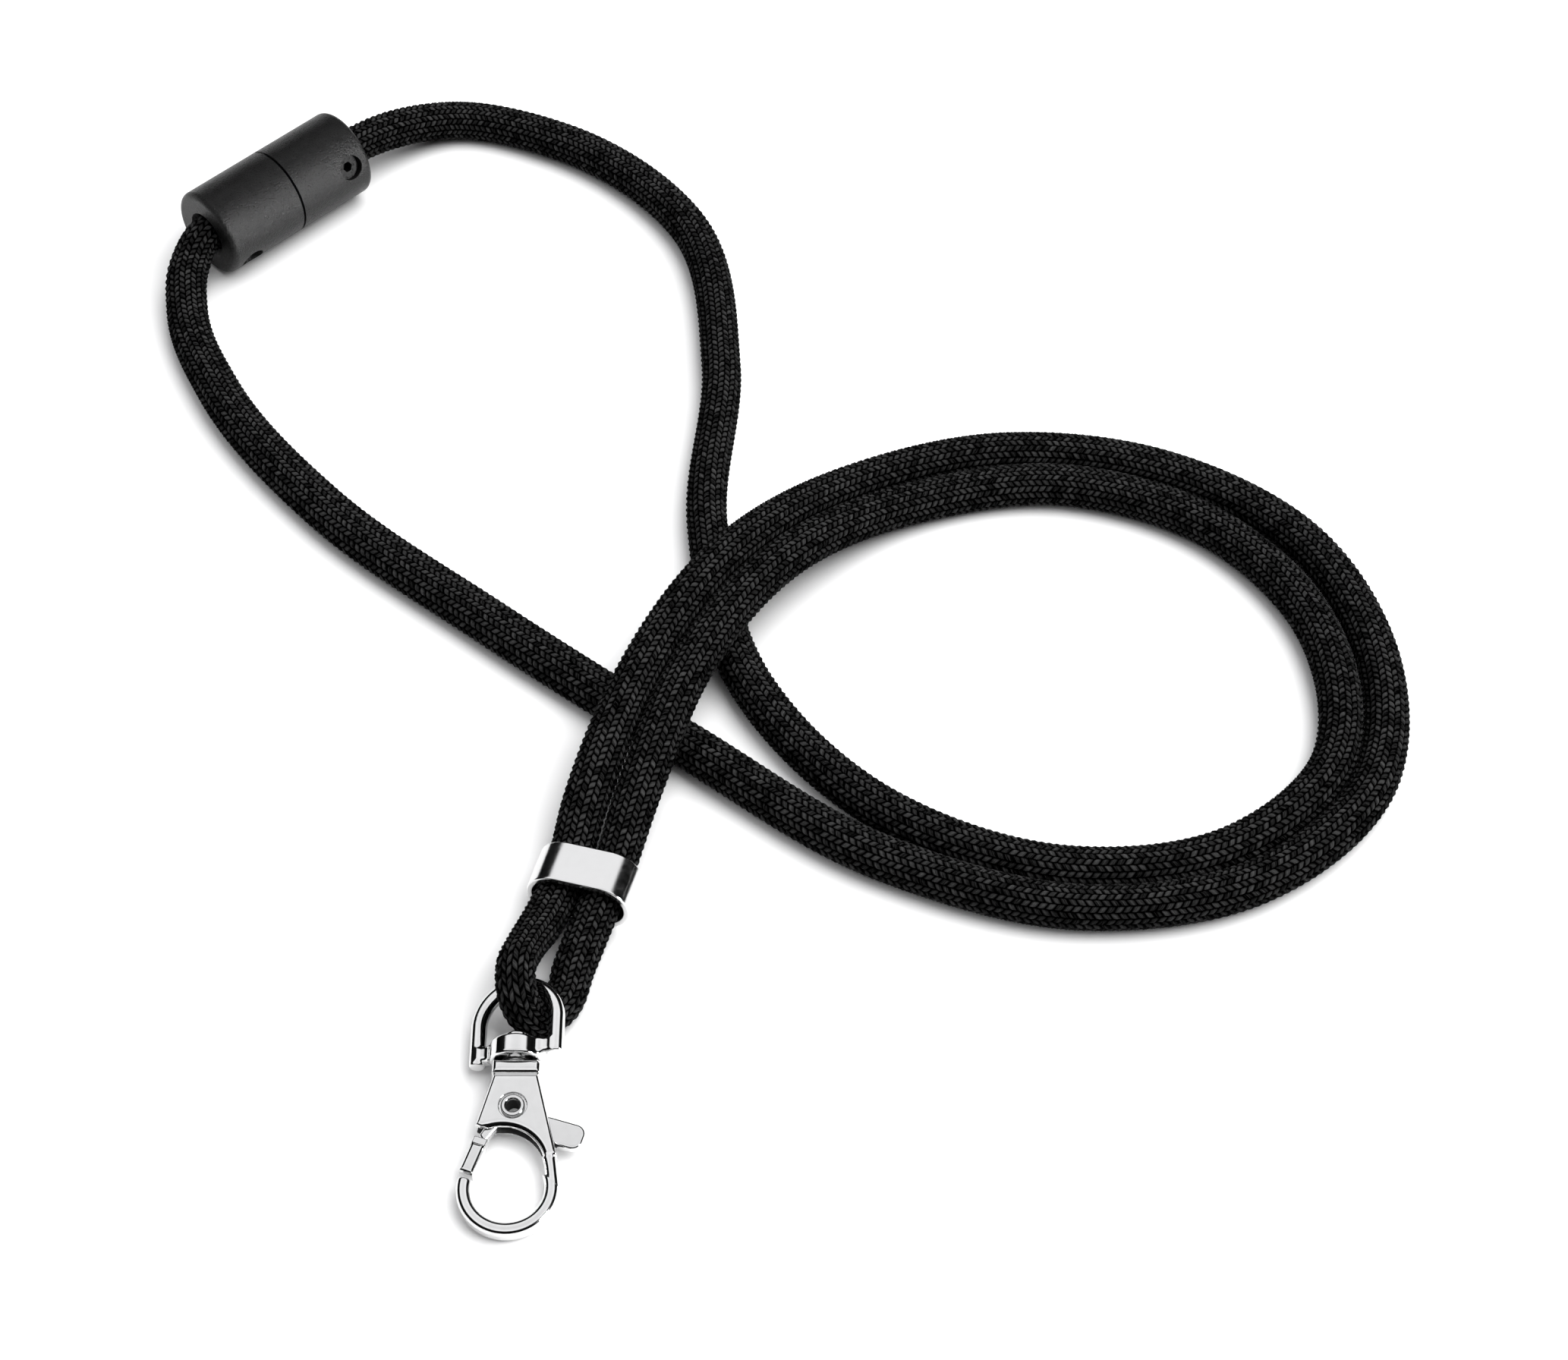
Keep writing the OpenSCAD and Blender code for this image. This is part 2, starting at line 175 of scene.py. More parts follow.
def area_light(name, aim, azimuth, elevation, distance, size, power, shine):
    """Soft box at a bearing from the aim point, in metres and degrees.

    With shine it only lights gloss, and without it only matt surfaces.
    """
    data = bpy.data.lights.new(name, "AREA")
    data.shape = "DISK"
    data.size, data.energy = size, power
    light = bpy.data.objects.new(name, data)
    a, e = math.radians(azimuth), math.radians(elevation)
    way = np.array([math.cos(e) * math.cos(a), math.cos(e) * math.sin(a), math.sin(e)])
    light.location = np.array(aim) + distance * way
    light.rotation_euler = (math.pi / 2 - e, 0, a + math.pi / 2)
    light.visible_glossy = shine
    light.visible_diffuse = not shine
    bpy.context.collection.objects.link(light)


def make_world():
    """White tent: bright all round, with a darker band low down for the metal's dark edges."""
    world = bpy.data.worlds.new("studio")
    bpy.context.scene.world = world
    world.use_nodes = True
    nodes, links = world.node_tree.nodes, world.node_tree.links
    nodes.clear()
    out = nodes.new("ShaderNodeOutputWorld")
    back = nodes.new("ShaderNodeBackground")
    coord = nodes.new("ShaderNodeTexCoord")
    split = nodes.new("ShaderNodeSeparateXYZ")
    ramp = nodes.new("ShaderNodeValToRGB")
    links.new(coord.outputs["Generated"], split.inputs[0])
    links.new(split.outputs["Z"], ramp.inputs[0])
    elements = ramp.color_ramp.elements
    while len(elements) < len(SKY):
        elements.new(0.5)
    for element, (at, level) in zip(elements, SKY):
        element.position = at
        element.color = (level, level, level * 1.01, 1)
    links.new(ramp.outputs[0], back.inputs["Color"])
    back.inputs["Strength"].default_value = 1.0
    links.new(back.outputs[0], out.inputs["Surface"])


def make_floor():
    mesh = bpy.data.meshes.new("table")
    h = TABLE_HALF_M
    mesh.from_pydata([(-h, -h, 0), (h, -h, 0), (h, h, 0), (-h, h, 0)], [], [(0, 1, 2, 3)])
    floor = bpy.data.objects.new("table", mesh)
    bpy.context.collection.objects.link(floor)
    mat, shader, tree = new_material("table_white", 0.9, 0.6, 0)
    shader.inputs["Base Color"].default_value = (0.9, 0.9, 0.9, 1)
    shader.inputs["Specular IOR Level"].default_value = 0.2
    mesh.materials.append(mat)


# ---------------------------------------------------------------- materials

def new_material(name, value, roughness, metallic):
    mat = bpy.data.materials.new(name)
    mat.use_nodes = True
    shader = mat.node_tree.nodes["Principled BSDF"]
    shader.inputs["Base Color"].default_value = (value, value, value, 1)
    shader.inputs["Roughness"].default_value = roughness
    shader.inputs["Metallic"].default_value = metallic
    return mat, shader, mat.node_tree


class Graph:
    """Short way to write node maths: every value is a socket or a number."""

    def __init__(self, tree):
        self.tree = tree

    def node(self, kind, **settings):
        n = self.tree.nodes.new(kind)
        for key, value in settings.items():
            setattr(n, key, value)
        return n

    def link(self, source, socket):
        if isinstance(source, (int, float, tuple)):
            socket.default_value = source
        else:
            self.tree.links.new(source, socket)

    def math(self, operation, *values):
        n = self.node("ShaderNodeMath", operation=operation)
        for value, socket in zip(values, n.inputs):
            self.link(value, socket)
        return n.outputs[0]

    def span(self, value, low, high, out_low, out_high):
        n = self.node("ShaderNodeMapRange")
        for given, socket in zip((value, low, high, out_low, out_high), n.inputs):
            self.link(given, socket)
        return n.outputs[0]

    def falloff(self, value, power):
        """1 at value 0, down to 0 at value -0.5 and 0.5."""
        size = self.math("ABSOLUTE", self.math("MULTIPLY", value, 2))
        return self.math("SUBTRACT", 1, self.math("POWER", size, power))

    def noise(self, scale, detail=2.0, roughness=0.5, vector=None, stretch=None):
        n = self.node("ShaderNodeTexNoise")
        n.inputs["Scale"].default_value = scale
        n.inputs["Detail"].default_value = detail
        n.inputs["Roughness"].default_value = roughness
        if vector is None:
            vector = self.node("ShaderNodeTexCoord").outputs["Object"]
        if stretch is not None:
            m = self.node("ShaderNodeMapping")
            m.inputs["Scale"].default_value = stretch
            self.link(vector, m.inputs["Vector"])
            vector = m.outputs[0]
        self.link(vector, n.inputs["Vector"])
        return n.outputs[0]

    def grey(self, value):
        n = self.node("ShaderNodeCombineColor")
        for socket in n.inputs[:3]:
            self.link(value, socket)
        return n.outputs[0]

    def bump(self, height, distance, strength=1.0, normal=None):
        n = self.node("ShaderNodeBump")
        n.inputs["Strength"].default_value = strength
        n.inputs["Distance"].default_value = distance
        self.link(height, n.inputs["Height"])
        if normal is not None:
            self.link(normal, n.inputs["Normal"])
        return n.outputs[0]


def chrome_material(name, tone, rough, wave):
    """Plated metal: faint casting waves, fine polishing marks, slightly duller patches."""
    mat, shader, tree = new_material(name, tone, rough, 1)
    g = Graph(tree)
    patches = g.noise(900, 3)
    marks = g.noise(1500, 2, stretch=(1, 7, 1))
    dulling = g.math("ADD", patches, g.math("MULTIPLY", marks, 0.5))
    g.link(g.span(dulling, 0.5, 1.1, rough * 0.7, rough * 1.5), shader.inputs["Roughness"])
    g.link(g.grey(g.span(patches, 0.3, 0.7, tone * 0.96, tone)), shader.inputs["Base Color"])
    waves = g.bump(g.noise(260, 1), wave)
    g.link(g.bump(marks, 0.000004, 0.5, waves), shader.inputs["Normal"])
    return mat


def painted_shade_material():
    """Painted shade: a dark, dull matt finish on the inside of a slot or bore and on the neck,
    standing in for the shade there.
    """
    mat, shader, tree = new_material("painted_shade_inside", 0.02, 0.7, 0)
    g = Graph(tree)
    shade_mottle = g.noise(2500, 3)
    g.link(g.span(shade_mottle, 0.3, 0.7, 0.55, 0.8), shader.inputs["Roughness"])
    g.link(g.grey(g.span(shade_mottle, 0.3, 0.7, 0.008, 0.03)), shader.inputs["Base Color"])
    g.link(g.bump(shade_mottle, 0.00003), shader.inputs["Normal"])
    return mat


def plastic_material():
    """Black moulded plastic with a fine sparkling satin grain."""
    mat, shader, tree = new_material("satin_black", 0.008, 0.4, 0)
    g = Graph(tree)
    grain = g.noise(3600, 3, 0.7)
    g.link(g.span(grain, 0.3, 0.7, 0.24, 0.38), shader.inputs["Roughness"])
    g.link(g.grey(g.span(g.noise(700, 2), 0.3, 0.7, 0.003, 0.006)), shader.inputs["Base Color"])
    g.link(g.bump(grain, 0.00015, 1.0), shader.inputs["Normal"])
    shader.inputs["Specular IOR Level"].default_value = 0.22
    return mat


def screw_material():
    """Black oxide on small screws, a little worn."""
    mat, shader, tree = new_material("screw_black", 0.004, 0.35, 0)
    g = Graph(tree)
    wear = g.noise(2500, 3)
    g.link(g.span(wear, 0.35, 0.7, 0.25, 0.5), shader.inputs["Roughness"])
    g.link(g.grey(g.span(wear, 0.4, 0.75, 0.001, 0.004)), shader.inputs["Base Color"])
    shader.inputs["Specular IOR Level"].default_value = 0.12
    g.link(g.bump(wear, 0.00002), shader.inputs["Normal"])
    return mat


def spring_material():
    """Drawn spring wire."""
    mat, shader, tree = new_material("spring_wire", 0.55, 0.3, 1)
    g = Graph(tree)
    drawn = g.noise(3000, 2)
    g.link(g.span(drawn, 0.3, 0.7, 0.22, 0.4), shader.inputs["Roughness"])
    g.link(g.grey(g.span(drawn, 0.3, 0.7, 0.45, 0.6)), shader.inputs["Base Color"])
    g.link(g.bump(drawn, 0.00001), shader.inputs["Normal"])
    return mat


def braid_material():
    """Matte black polyester: each pick has its own tone and fine filaments along its slant, with
    painted shade darkening the grooves between picks and painted light brightening their crowns.
    """
    mat, shader, tree = new_material("black_braid", 0.014, 0.7, 0)
    g = Graph(tree)
    uv = g.node("ShaderNodeUVMap", uv_map="braid").outputs[0]
    split = g.node("ShaderNodeSeparateXYZ")
    g.link(uv, split.inputs[0])
    column, along = split.outputs[0], split.outputs[1]
    across = g.math("SUBTRACT", g.math("FRACT", column), 0.5)
    index = g.math("FLOOR", column)
    odd = g.math("MODULO", index, 2)
    slant = g.math("SUBTRACT", 1, g.math("MULTIPLY", odd, 2))
    lean = g.math("ADD", along, g.math("MULTIPLY", g.math("MULTIPLY", slant, SLANT), across))
    pick = g.math("ADD", lean, g.math("MULTIPLY", odd, 0.5))
    length = g.math("SUBTRACT", g.math("FRACT", pick), 0.5)
    dome_x = g.falloff(across, 4)
    dome_y = g.falloff(length, 1.6)
    dome = g.math("MULTIPLY", dome_x, dome_y)
    # One random number for each pick
    ident = g.node("ShaderNodeCombineXYZ")
    g.link(index, ident.inputs[0])
    g.link(g.math("FLOOR", pick), ident.inputs[1])
    chance = g.node("ShaderNodeTexWhiteNoise")
    g.link(ident.outputs[0], chance.inputs["Vector"])
    own = chance.outputs["Value"]
    # Filaments: fine lines along the slant, broken up by noise
    thread = g.node("ShaderNodeCombineXYZ")
    g.link(g.math("MULTIPLY", pick, 9), thread.inputs[0])
    g.link(g.math("MULTIPLY", column, 0.6), thread.inputs[1])
    filament = g.noise(1.0, 2, 0.6, thread.outputs[0])
    thread_tone = g.span(filament, 0.3, 0.7, -0.006, 0.011)
    tone = g.math("ADD", g.span(own, 0, 1, 0.001, 0.017), thread_tone)
    # Painted shade and light: the tone falls to black in the grooves and rises to 2.2 times on the
    # crowns of the picks.
    painted_relief_tone = g.math("MULTIPLY", tone, g.span(dome, 0.2, 0.85, 0.0, 2.2))
    g.link(g.grey(painted_relief_tone), shader.inputs["Base Color"])
    g.link(g.span(filament, 0.3, 0.7, 0.7, 0.95), shader.inputs["Roughness"])
    shader.inputs["Specular IOR Level"].default_value = 0.0
    height = g.math("ADD", dome, g.math("MULTIPLY", filament, 0.4))
    g.link(g.bump(height, 0.00026, 1.0), shader.inputs["Normal"])
    return mat


# ---------------------------------------------------------------- cord

def hermite(points, steps):
    """Smooth line through the points, each stretch in the given number of steps."""
    gaps = np.linalg.norm(np.diff(points[:, :3], axis=0), axis=1)[:, None]
    slopes = np.diff(points, axis=0) / gaps
    inner = (slopes[1:] * gaps[:-1] + slopes[:-1] * gaps[1:]) / (gaps[1:] + gaps[:-1])
    lean = np.vstack([slopes[:1], inner, slopes[-1:]])
    t = (np.arange(steps) / steps)[:, None]
    line = []
    for i, gap in enumerate(gaps):
        line.append((2 * t**3 - 3 * t**2 + 1) * points[i] + (t**3 - 2 * t**2 + t) * gap * lean[i]
                    + (3 * t**2 - 2 * t**3) * points[i + 1] + (t**3 - t**2) * gap * lean[i + 1])
    return np.vstack(line + [points[-1:]])


def unit(v):
    return v / np.linalg.norm(v, axis=-1, keepdims=True)


def carried_sides(tangents):
    """A side direction carried along the line without twist."""
    side = unit(np.cross(tangents[0], (0, 0, 1)))
    sides = []
    for t in tangents:
        side = unit(side - np.dot(side, t) * t)
        sides.append(side)
    return np.array(sides)


def pick_height(column, along):
    """Height of the braid, 0 in a groove to 1 on a pick. Same pattern as the material's."""
    across = column - np.floor(column) - 0.5
    odd = np.floor(column) % 2
    pick = along + SLANT * (1 - 2 * odd) * across + odd / 2
    length = pick - np.floor(pick) - 0.5
    return (1 - 0.8 * (2 * across) ** 4) * (1 - np.abs(2 * length) ** 1.6)


def make_cord():
    line = hermite(np.array(ROUTE, float), CURVE_STEPS)
    arc = np.r_[0, np.cumsum(np.linalg.norm(np.diff(line[:, :3], axis=0), axis=1))]
    rings = int(arc[-1] / PICK * PER_PICK)
    at = np.arange(rings + 1) * PICK / PER_PICK
    centre, share, width = np.split(
        np.stack([np.interp(at, arc, line[:, k]) for k in range(5)], 1), [3, 4], axis=1)
    tangents = unit(np.gradient(centre, axis=0))
    side = carried_sides(tangents)
    up = np.cross(side, tangents)
    sides = COLUMNS * PER_PICK
    angle = 2 * math.pi * np.arange(sides) / sides
    # Where the world's up lies in each ring's own angle
    top = np.arctan2(up[:, 2], side[:, 2])[:, None]
    column = np.arange(sides)[None] / PER_PICK
    steps = np.arange(rings + 1)[:, None] / PER_PICK
    radius = share * CORD_D / 2
    across = np.sin(angle[None] - top)
    lift = np.cos(angle[None] - top)
    oval = 1 / np.sqrt((across / width) ** 2 + (lift * width) ** 2)
    reach = radius * oval + RELIEF * (pick_height(column, steps) - 0.6)
    ring = (np.cos(angle)[None, :, None] * side[:, None] + np.sin(angle)[None, :, None] * up[:, None])
    lowered = centre - np.array([0, 0, 1]) * radius * (1 - 1 / width)
    verts = lowered[:, None] + reach[..., None] * ring
    verts[..., 2] = np.maximum(verts[..., 2], TABLE_GAP)
    n = sides
    i, k = np.meshgrid(np.arange(rings), np.arange(n), indexing="ij")
    a, b = i * n + k, i * n + (k + 1) % n
    faces = np.stack([a, b, b + n, a + n], -1).reshape(-1, 4)
    mesh = bpy.data.meshes.new("cord_braid")
    total = (rings + 1) * n
    mesh.vertices.add(total)
    mesh.vertices.foreach_set("co", place(verts.reshape(-1, 3)).ravel())
    loops = np.concatenate([faces.ravel(), np.arange(n)[::-1], total - n + np.arange(n)])
    sizes = np.r_[np.full(len(faces), 4), n, n]
    mesh.loops.add(len(loops))
    mesh.loops.foreach_set("vertex_index", loops.astype(np.int32))
    mesh.polygons.add(len(sizes))
    mesh.polygons.foreach_set("loop_start", np.r_[0, np.cumsum(sizes)[:-1]].astype(np.int32))
    uv = mesh.uv_layers.new(name="braid")
    u0, u1 = k.ravel() / PER_PICK, (k.ravel() + 1) / PER_PICK
    v0, v1 = i.ravel() / PER_PICK, (i.ravel() + 1) / PER_PICK
    quads = np.stack([u0, v0, u1, v0, u1, v1, u0, v1], -1).ravel()
    uv.data.foreach_set("uv", np.r_[quads, np.zeros(4 * n)].astype(np.float32))
    mesh.update(calc_edges=True)
    mesh.validate()
    mesh.polygons.foreach_set("use_smooth", np.ones(len(mesh.polygons), bool))
    cord = bpy.data.objects.new("cord_braid", mesh)
    bpy.context.collection.objects.link(cord)
    mesh.materials.append(braid_material())
    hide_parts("cord")
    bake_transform(cord)
    return cord


# ---------------------------------------------------------------- solids from distance functions

def circle(p, centre, r):
    return np.hypot(p[:, 0] - centre[0], p[:, 1] - centre[1]) - r


def polygon(p, points):
    """Signed distance to a closed outline in X and Y."""
    pts = np.array(points, float)
    best = np.full(len(p), np.inf)
    sign = np.ones(len(p))
    for a, b in zip(pts, np.roll(pts, 1, axis=0)):
        e, w = b - a, p[:, :2] - a
        t = np.clip((w @ e) / (e @ e), 0, 1)[:, None]
        best = np.minimum(best, ((w - e * t) ** 2).sum(1))
        above, below = p[:, 1] >= a[1], p[:, 1] < b[1]
        left = e[0] * w[:, 1] > e[1] * w[:, 0]
        sign[(above & below & left) | (~above & ~below & ~left)] *= -1
    return sign * np.sqrt(best)


def join(a, b, k=0.0):
    """Union with a fillet of about k."""
    h = np.maximum(k - np.abs(a - b), 0) / max(k, 1e-9)
    return np.minimum(a, b) - h * h * k / 4


def cut(a, b, k=0.0):
    """a without b, with a rounded edge of about k."""
    return -join(-a, b, k)


def rounded(a, b, r):
    """Where both a and b hold, with the corner between them rounded by r."""
    u, v = a + r, b + r
    return np.minimum(np.maximum(u, v), 0) + np.hypot(np.maximum(u, 0), np.maximum(v, 0)) - r


def slab(flat, z, half, r):
    """An outline given thickness, with a rim rounded by r."""
    return rounded(flat, np.abs(z) - half, r)


def solid(name, shape, low, high, cell):
    """Closed mesh of shape(p) < 0 by surface nets, each vertex then moved onto the true surface."""
    axes = [np.arange(a - 2.5 * cell, b + 3 * cell, cell) for a, b in zip(low, high)]
    dims = [len(a) for a in axes]
    grid = np.stack(np.meshgrid(*axes, indexing="ij"), -1)
    field = np.concatenate([shape(block.reshape(-1, 3)) for block in grid]).reshape(dims)
    inside = field < 0
    spots = np.zeros([d - 1 for d in dims] + [3])
    hits = np.zeros([d - 1 for d in dims])
    corner = lambda f, o: f[tuple(slice(k, k + d - 1) for k, d in zip(o, dims))]
    for axis in range(3):
        for o in [(x, y, z) for x in (0, 1) for y in (0, 1) for z in (0, 1) if (x, y, z)[axis] == 0]:
            q = list(o)
            q[axis] = 1
            f0, f1 = corner(field, o), corner(field, q)
            crossed = (f0 < 0) != (f1 < 0)
            t = np.where(crossed, f0 / np.where(crossed, f0 - f1, 1), 0)
            for k in range(3):
                spots[..., k] += crossed * (o[k] + (t if k == axis else 0))
            hits += crossed
    active = hits > 0
    number = np.full(active.shape, -1)
    number[active] = np.arange(active.sum())
    base = np.stack(np.meshgrid(*[a[:-1] for a in axes], indexing="ij"), -1)
    verts = base[active] + cell * spots[active] / hits[active][:, None]
    faces = []
    for axis in range(3):
        j, k = (axis + 1) % 3, (axis + 2) % 3
        first = [slice(1, d - 1) for d in dims]
        first[axis] = slice(0, dims[axis] - 1)
        second = list(first)
        second[axis] = slice(1, dims[axis])
        a, b = inside[tuple(first)], inside[tuple(second)]
        index = np.argwhere(a != b) + [s.start for s in first]
        flip = a[a != b]
        around = []
        for dj, dk in ((-1, -1), (0, -1), (0, 0), (-1, 0)):
            c = index.copy()
            c[:, j] += dj
            c[:, k] += dk
            around.append(number[c[:, 0], c[:, 1], c[:, 2]])
        quads = np.stack(around, 1)
        quads[~flip] = quads[~flip][:, ::-1]
        faces.append(quads)
    faces = np.concatenate(faces)
    h = cell * 0.05
    for _ in range(4):
        slope = np.stack([shape(verts + h * e) - shape(verts - h * e) for e in np.eye(3)], 1) / (2 * h)
        size = np.maximum((slope**2).sum(1), 0.05)
        step = slope * (shape(verts) / size)[:, None]
        length = np.linalg.norm(step, axis=1, keepdims=True)
        verts = verts - step * np.minimum(1, 0.5 * cell / np.maximum(length, 1e-9))
    mesh = bpy.data.meshes.new(name)
    mesh.from_pydata([tuple(v) for v in verts], [], [tuple(f) for f in faces.tolist()])
    mesh.polygons.foreach_set("use_smooth", np.ones(len(mesh.polygons), bool))
    return mesh, unit(slope)


def add_solid(name, shape, low, high, cell, spin, shift, body, material, node, painted_shade_mask=None):
    """Builds a solid in its own frame, puts it in the part's frame and ties it to its body."""
    mesh, normals = solid(name, shape, low, high, cell)
    count = len(mesh.vertices)
    co = np.empty(count * 3)
    mesh.vertices.foreach_get("co", co)
    mesh.vertices.foreach_set("co", place(co.reshape(-1, 3) @ spin.T + shift).ravel())
    mesh.update()
    mesh.normals_split_custom_set_from_vertices((normals @ spin.T).tolist())
    piece = bpy.data.objects.new(name, mesh)
    bpy.context.collection.objects.link(piece)
    mesh.materials.append(material)
    # Faces picked by the mask get the painted shade material: dark matt colour standing in for the
    # shade in slots, bores and under the eye.
    if painted_shade_mask is not None:
        mesh.materials.append(bpy.data.materials.get("painted_shade_inside") or painted_shade_material())
        corners = np.empty(len(mesh.loops), np.int32)
        mesh.loops.foreach_get("vertex_index", corners)
        middle = co.reshape(-1, 3)[corners.reshape(-1, 4)].mean(1)
        mesh.polygons.foreach_set("material_index", painted_shade_mask(middle).astype(np.int32))
    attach(piece, body)
    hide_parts(node)
    return piece


def hook_body_shape(p):
    x, y, z = p.T
    opening = join(circle(p, ARCH_POS, ARCH_R), circle(p, BOWL_POS, BOWL_R), 1.5)
    # The ring runs from its nose under the bowl and some way up the thumb side
    reach = np.hypot(x - BOWL_POS[0], y - BOWL_POS[1])
    nose = (x - BOWL_POS[0]) * math.sin(NOSE_TURN) - (y - BOWL_POS[1]) * math.cos(NOSE_TURN)
    gone = np.where(x < BOWL_POS[0], nose - NOSE_OVER, y - BOWL_POS[1] - RING_UP)
    ring = np.maximum(np.abs(reach - (BOWL_R + BOWL_OUT_R) / 2) - (BOWL_OUT_R - BOWL_R) / 2, gone)
    plate_flat = polygon(p, PLATE) - 0.1
    plate_flat = cut(plate_flat, opening, 0.25)
    outline = np.minimum(plate_flat, ring)
    # The thick plate stops short of the arch, which leaves a lower rounded rim round the opening
    upper = np.maximum(cut(plate_flat, opening - RIM_W, 0.25), SLOT_LOW - y)
    plate = slab(upper, z, HOOK_T / 2, 0.5)
    bar = slab(outline, z, HOOK_RING_T / 2, 0.9)
    body = join(plate, bar, 0.5)
    body = cut(body, np.maximum(np.maximum(-nose, x - BOWL_POS[0]), y - NOSE_CUT_TOP), 0.3)
    collar = np.maximum(np.abs(x - COLLAR_X) - COLLAR_HALF_W, np.abs(y - COLLAR_Y) - COLLAR_HALF_H)
    collar = slab(collar, z, COLLAR_HALF_T, 0.85)
    neck = np.maximum(np.hypot(x, z) - NECK_R, np.abs(y - NECK_Y) - NECK_HALF_H)
    body = join(join(body, collar, 0.12), neck, 0.2)
    slot = np.maximum(np.maximum(np.abs(z) - SLOT_T / 2, y - SLOT_TOP), SLOT_LOW - y)
    body = cut(body, slot, 0.15)
    recess = np.maximum(np.hypot(x, y) - RECESS_D / 2, HOOK_T / 2 - RECESS_DEPTH - np.abs(z))
    body = cut(body, recess, 0.12)
    return cut(body, np.hypot(x, y) - EYELET_D / 2)


def hook_shade_faces(p):
    """Slot walls, the part of the bore between them, and the neck under the eye, which get painted
    shade.
    """
    x, y, z = p.T
    slot = (np.abs(z) < SLOT_T / 2 + 0.05) & (y < SLOT_TOP + 0.1) & (y > SLOT_LOW - 0.1)
    return slot | (y > COLLAR_Y + COLLAR_HALF_H + 0.02)


def gate_lever_shape(p):
    x, y, z = p.T
    run = unit(GATE_END - GATE_ROOT)
    length = np.linalg.norm(GATE_END - GATE_ROOT)
    s = (p[:, 0] - GATE_ROOT[0]) * run[0] + (p[:, 1] - GATE_ROOT[1]) * run[1]
    off = (p[:, 0] - GATE_ROOT[0]) * -run[1] + (p[:, 1] - GATE_ROOT[1]) * run[0]
    beside = np.abs(off) - GATE_W / 2
    bar = np.maximum(beside, np.maximum(GATE_BAR_FROM - s, s - length))
    bar = slab(bar, z, GATE_T / 2, 0.7)
    shoulder = np.maximum(beside + 0.05, np.maximum(SHOULDER_FROM - s, s - SHOULDER_TO))
    shoulder = slab(shoulder, z, SHOULDER_HALF_T, 0.2)
    tx = (x - TAB_POS[0]) * math.cos(TAB_TURN) + (y - TAB_POS[1]) * math.sin(TAB_TURN)
    ty = -(x - TAB_POS[0]) * math.sin(TAB_TURN) + (y - TAB_POS[1]) * math.cos(TAB_TURN)
    tab = rounded(np.abs(tx - TAB_LEN / 2) - TAB_LEN / 2, np.abs(ty) - TAB_HALF_W, TAB_CORNER_R)
    flat = join(join(np.hypot(x, y) - HUB_R, polygon(p, WEB), 0.3), tab, 0.5)
    thin = slab(flat, z, WEB_HALF_T, 0.45)
    lever = join(join(thin, shoulder, 0.15), bar, 0.12)
    return cut(lever, np.hypot(x, y) - EYELET_D / 2 - 0.05)


def gate_pivot_shape(p):
    x, y, z = p.T
    r = np.hypot(x, y)
    tube = np.maximum(r - EYELET_D / 2, np.abs(z) - EYELET_HALF_LEN)
    rim_z = HOOK_T / 2 - RECESS_DEPTH + 0.3
    rim_r = (EYELET_BORE_D + EYELET_RIM_D) / 4 + 0.02
    rim = np.hypot((r - rim_r) / 1.05, np.abs(z) - rim_z) - EYELET_RIM_R
    return cut(join(tube, rim, 0.15), r - EYELET_BORE_D / 2, 0.1)


def bore_shade_faces(p):
    """Bore of the eyelet below its rolled rim, which gets painted shade."""
    return (np.hypot(p[:, 0], p[:, 1]) < EYELET_BORE_D / 2 + 0.04) & (np.abs(p[:, 2]) < 1.25)


def swivel_eye_shape(p):
    x, y, z = p.T
    bow = np.abs(np.hypot(x, y - EYE_RISE) - EYE_HALF_W)
    arms = np.abs(np.abs(x) - EYE_HALF_W)
    loop = slab(np.where(y > EYE_RISE, bow, arms) - EYE_BAR_HALF_W, z, EYE_BAR_HALF_T, 0.95)
    # The arms end square, the left one lower down, with a squared bar between them
    loop = cut(loop, y - np.where(x < 0, EYE_LOW_LEFT, EYE_LOW_RIGHT), 0.3)
    base = np.maximum(np.abs(y - EYE_BASE_Y) - EYE_BASE_HALF_H, np.abs(x) - EYE_HALF_W)
    loop = join(loop, slab(base, z, EYE_BAR_HALF_T, 0.5), 0.3)
    boss = rounded(np.hypot(x, z) - BOSS_R, np.abs(y - BOSS_Y) - BOSS_HALF_H, BOSS_EDGE_R)
    eye = join(loop, boss, 0.8)
    return cut(eye, np.hypot(x, z) - PIN_HOLE_R)


def swivel_rivet_shape(p):
    x, y, z = p.T
    r = np.hypot(x, z)
    pin = np.maximum(r - PIN_R, np.abs(y - PIN_Y) - PIN_HALF_LEN)
    head_y = np.maximum(np.abs(y - PIN_HEAD_Y) - 0.12, 0)
    head = np.hypot(np.maximum(r - PIN_HEAD_CORE_R, 0), head_y) - PIN_HEAD_EDGE_R
    return join(pin, head, 0.1)


def cord_ring_shape(p):
    x, y, z = p.T
    middle = np.hypot(np.maximum(np.abs(x) - (BAND_W - BAND_H) / 2, 0), z) - (BAND_H - BAND_WALL) / 2
    return slab(np.abs(middle) - BAND_WALL / 2, y, BAND_LEN / 2, 0.22)


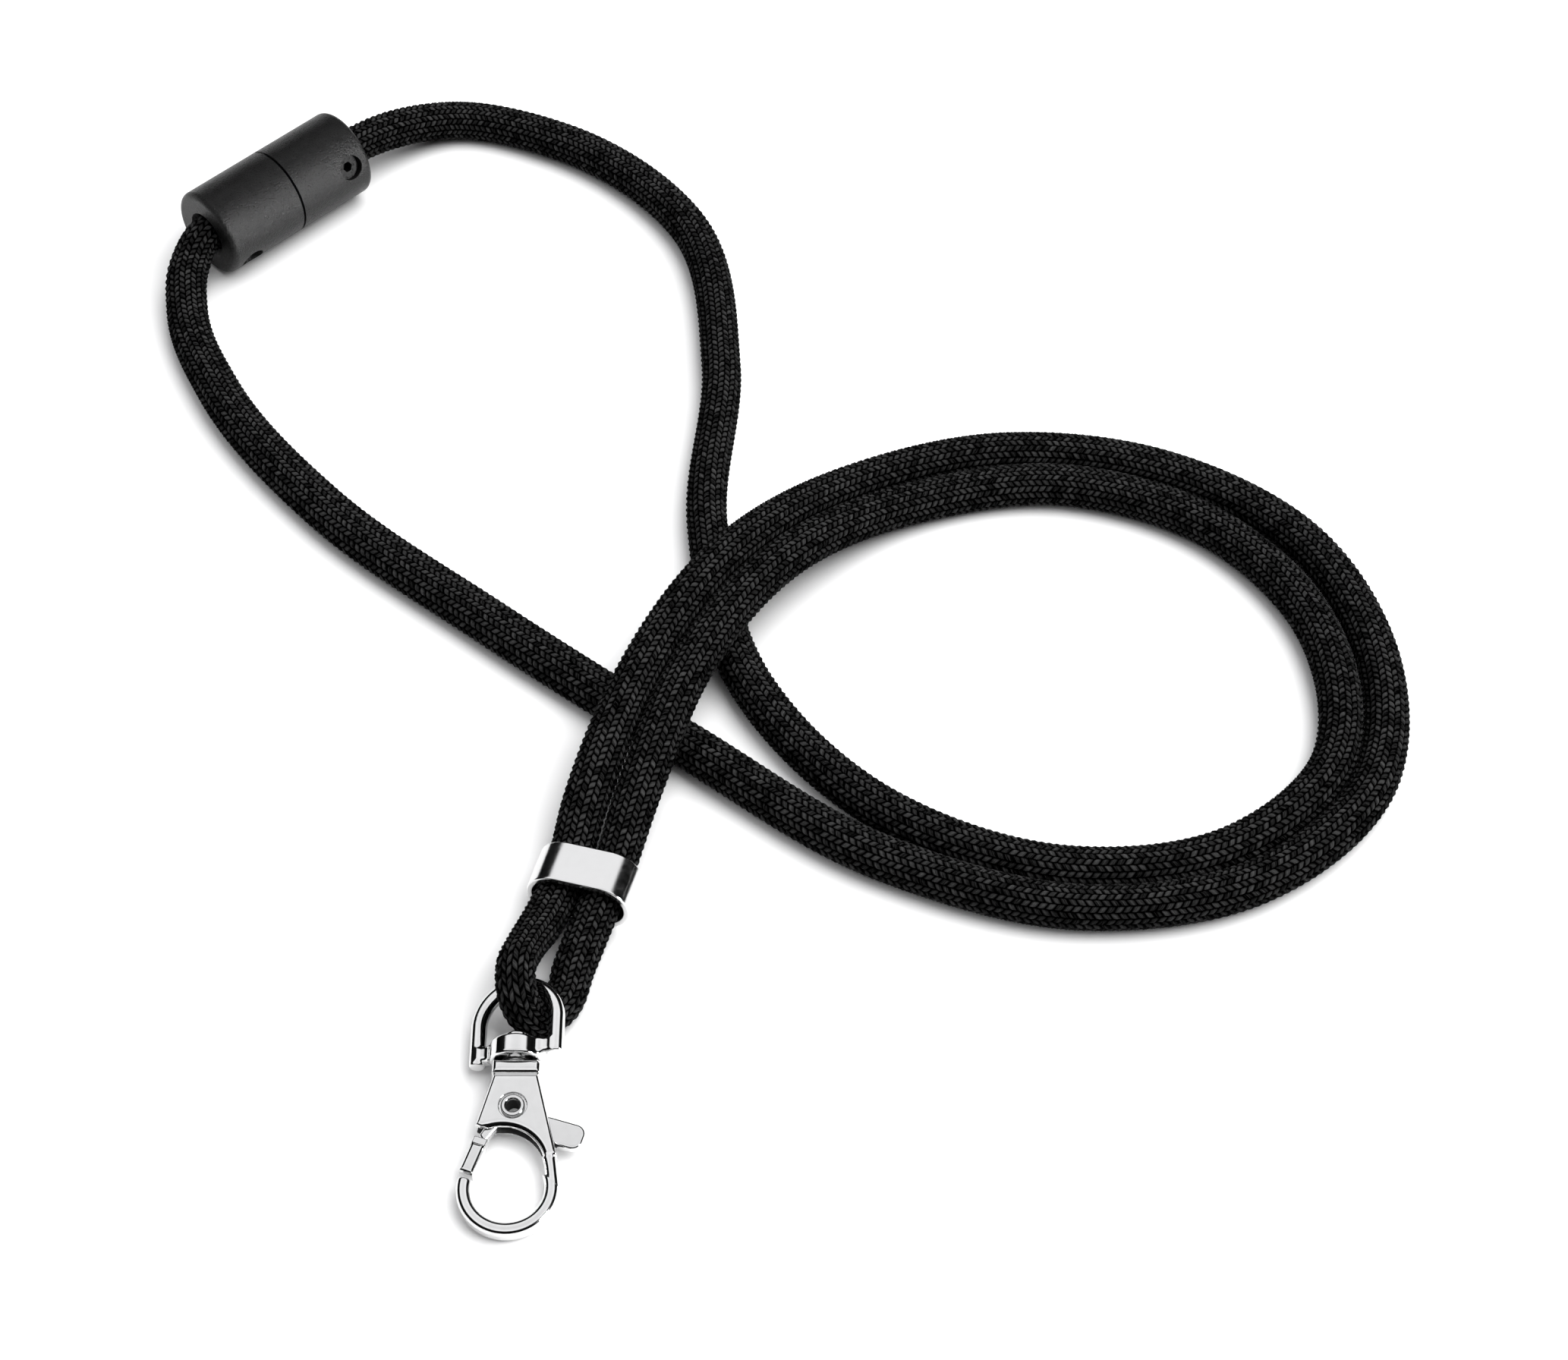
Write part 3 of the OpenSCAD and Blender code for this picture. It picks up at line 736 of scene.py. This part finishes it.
def make_metal():
    hook = chrome_material("hook_nickel", 0.73, 0.07, 0.00003)
    lever = chrome_material("lever_nickel", 0.7, 0.08, 0.00002)
    band = chrome_material("ring_satin", 0.72, 0.14, 0.00001)
    pitch = turn("X", HOOK_PITCH)
    on_eye = pitch @ turn("Y", -EYE_ROLL)
    eye_pos = HOOK_POS + pitch @ np.array([0, EYE_Y, 0])
    # Piece, shape, box to search, mesh step, pose, body, material, CAD node, faces that get painted
    # shade
    add_solid("hook_casting", hook_body_shape, (-7, -17.6, -2.1), (6.6, 7.3, 2.1), 0.14,
              pitch, HOOK_POS, "hook", hook, "hook_body", hook_shade_faces)
    add_solid("gate_and_tab", gate_lever_shape, (-6.5, -9.8, -1.5), (10, 2.2, 1.5), 0.12,
              pitch, HOOK_POS, "gate", lever, "gate_lever")
    add_solid("gate_eyelet", gate_pivot_shape, (-1.6, -1.6, -1.9), (1.6, 1.6, 1.9), 0.08,
              pitch, HOOK_POS, "hook", lever, "gate_pivot", bore_shade_faces)
    add_solid("swivel_eye_casting", swivel_eye_shape, (-6.6, -2.0, -3.5), (6.6, 10.4, 3.5), 0.13,
              on_eye, eye_pos, "eye", hook, "swivel_eye")
    add_solid("swivel_pin", swivel_rivet_shape, (-1.9, 3.2, -1.9), (1.9, 10.8, 1.9), 0.1,
              pitch, HOOK_POS, "hook", lever, "swivel_rivet")
    add_solid("cord_band", cord_ring_shape, (-7.3, -3.4, -4.3), (7.3, 3.4, 4.3), 0.15,
              turn("Z", BAND_TURN), BAND_POS, "cord_assembly", band, "cord_ring")


def dress(node, material):
    """A CAD node keeps its shape and gets a finished material."""
    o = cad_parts[node]
    o.data.materials.clear()
    o.data.materials.append(material)


make_camera()
make_cord()
make_world()
make_floor()
AIM = place((0, 30, 0))
area_light("tent", AIM, 5, 62, 1.6, 1.8, 37, False)
area_light("strip", AIM, -30, 17, 1.2, 0.36, 48, True)
make_metal()
plastic = plastic_material()
for half in ("release_socket", "release_plug"):
    dress(half, plastic)
for screw in ("socket_screw", "plug_screw"):
    dress(screw, screw_material())
dress("gate_spring", spring_material())
scene = bpy.context.scene
scene.view_settings.view_transform = "Standard"
scene.view_settings.look = "None"
scene.view_settings.exposure = 0.0
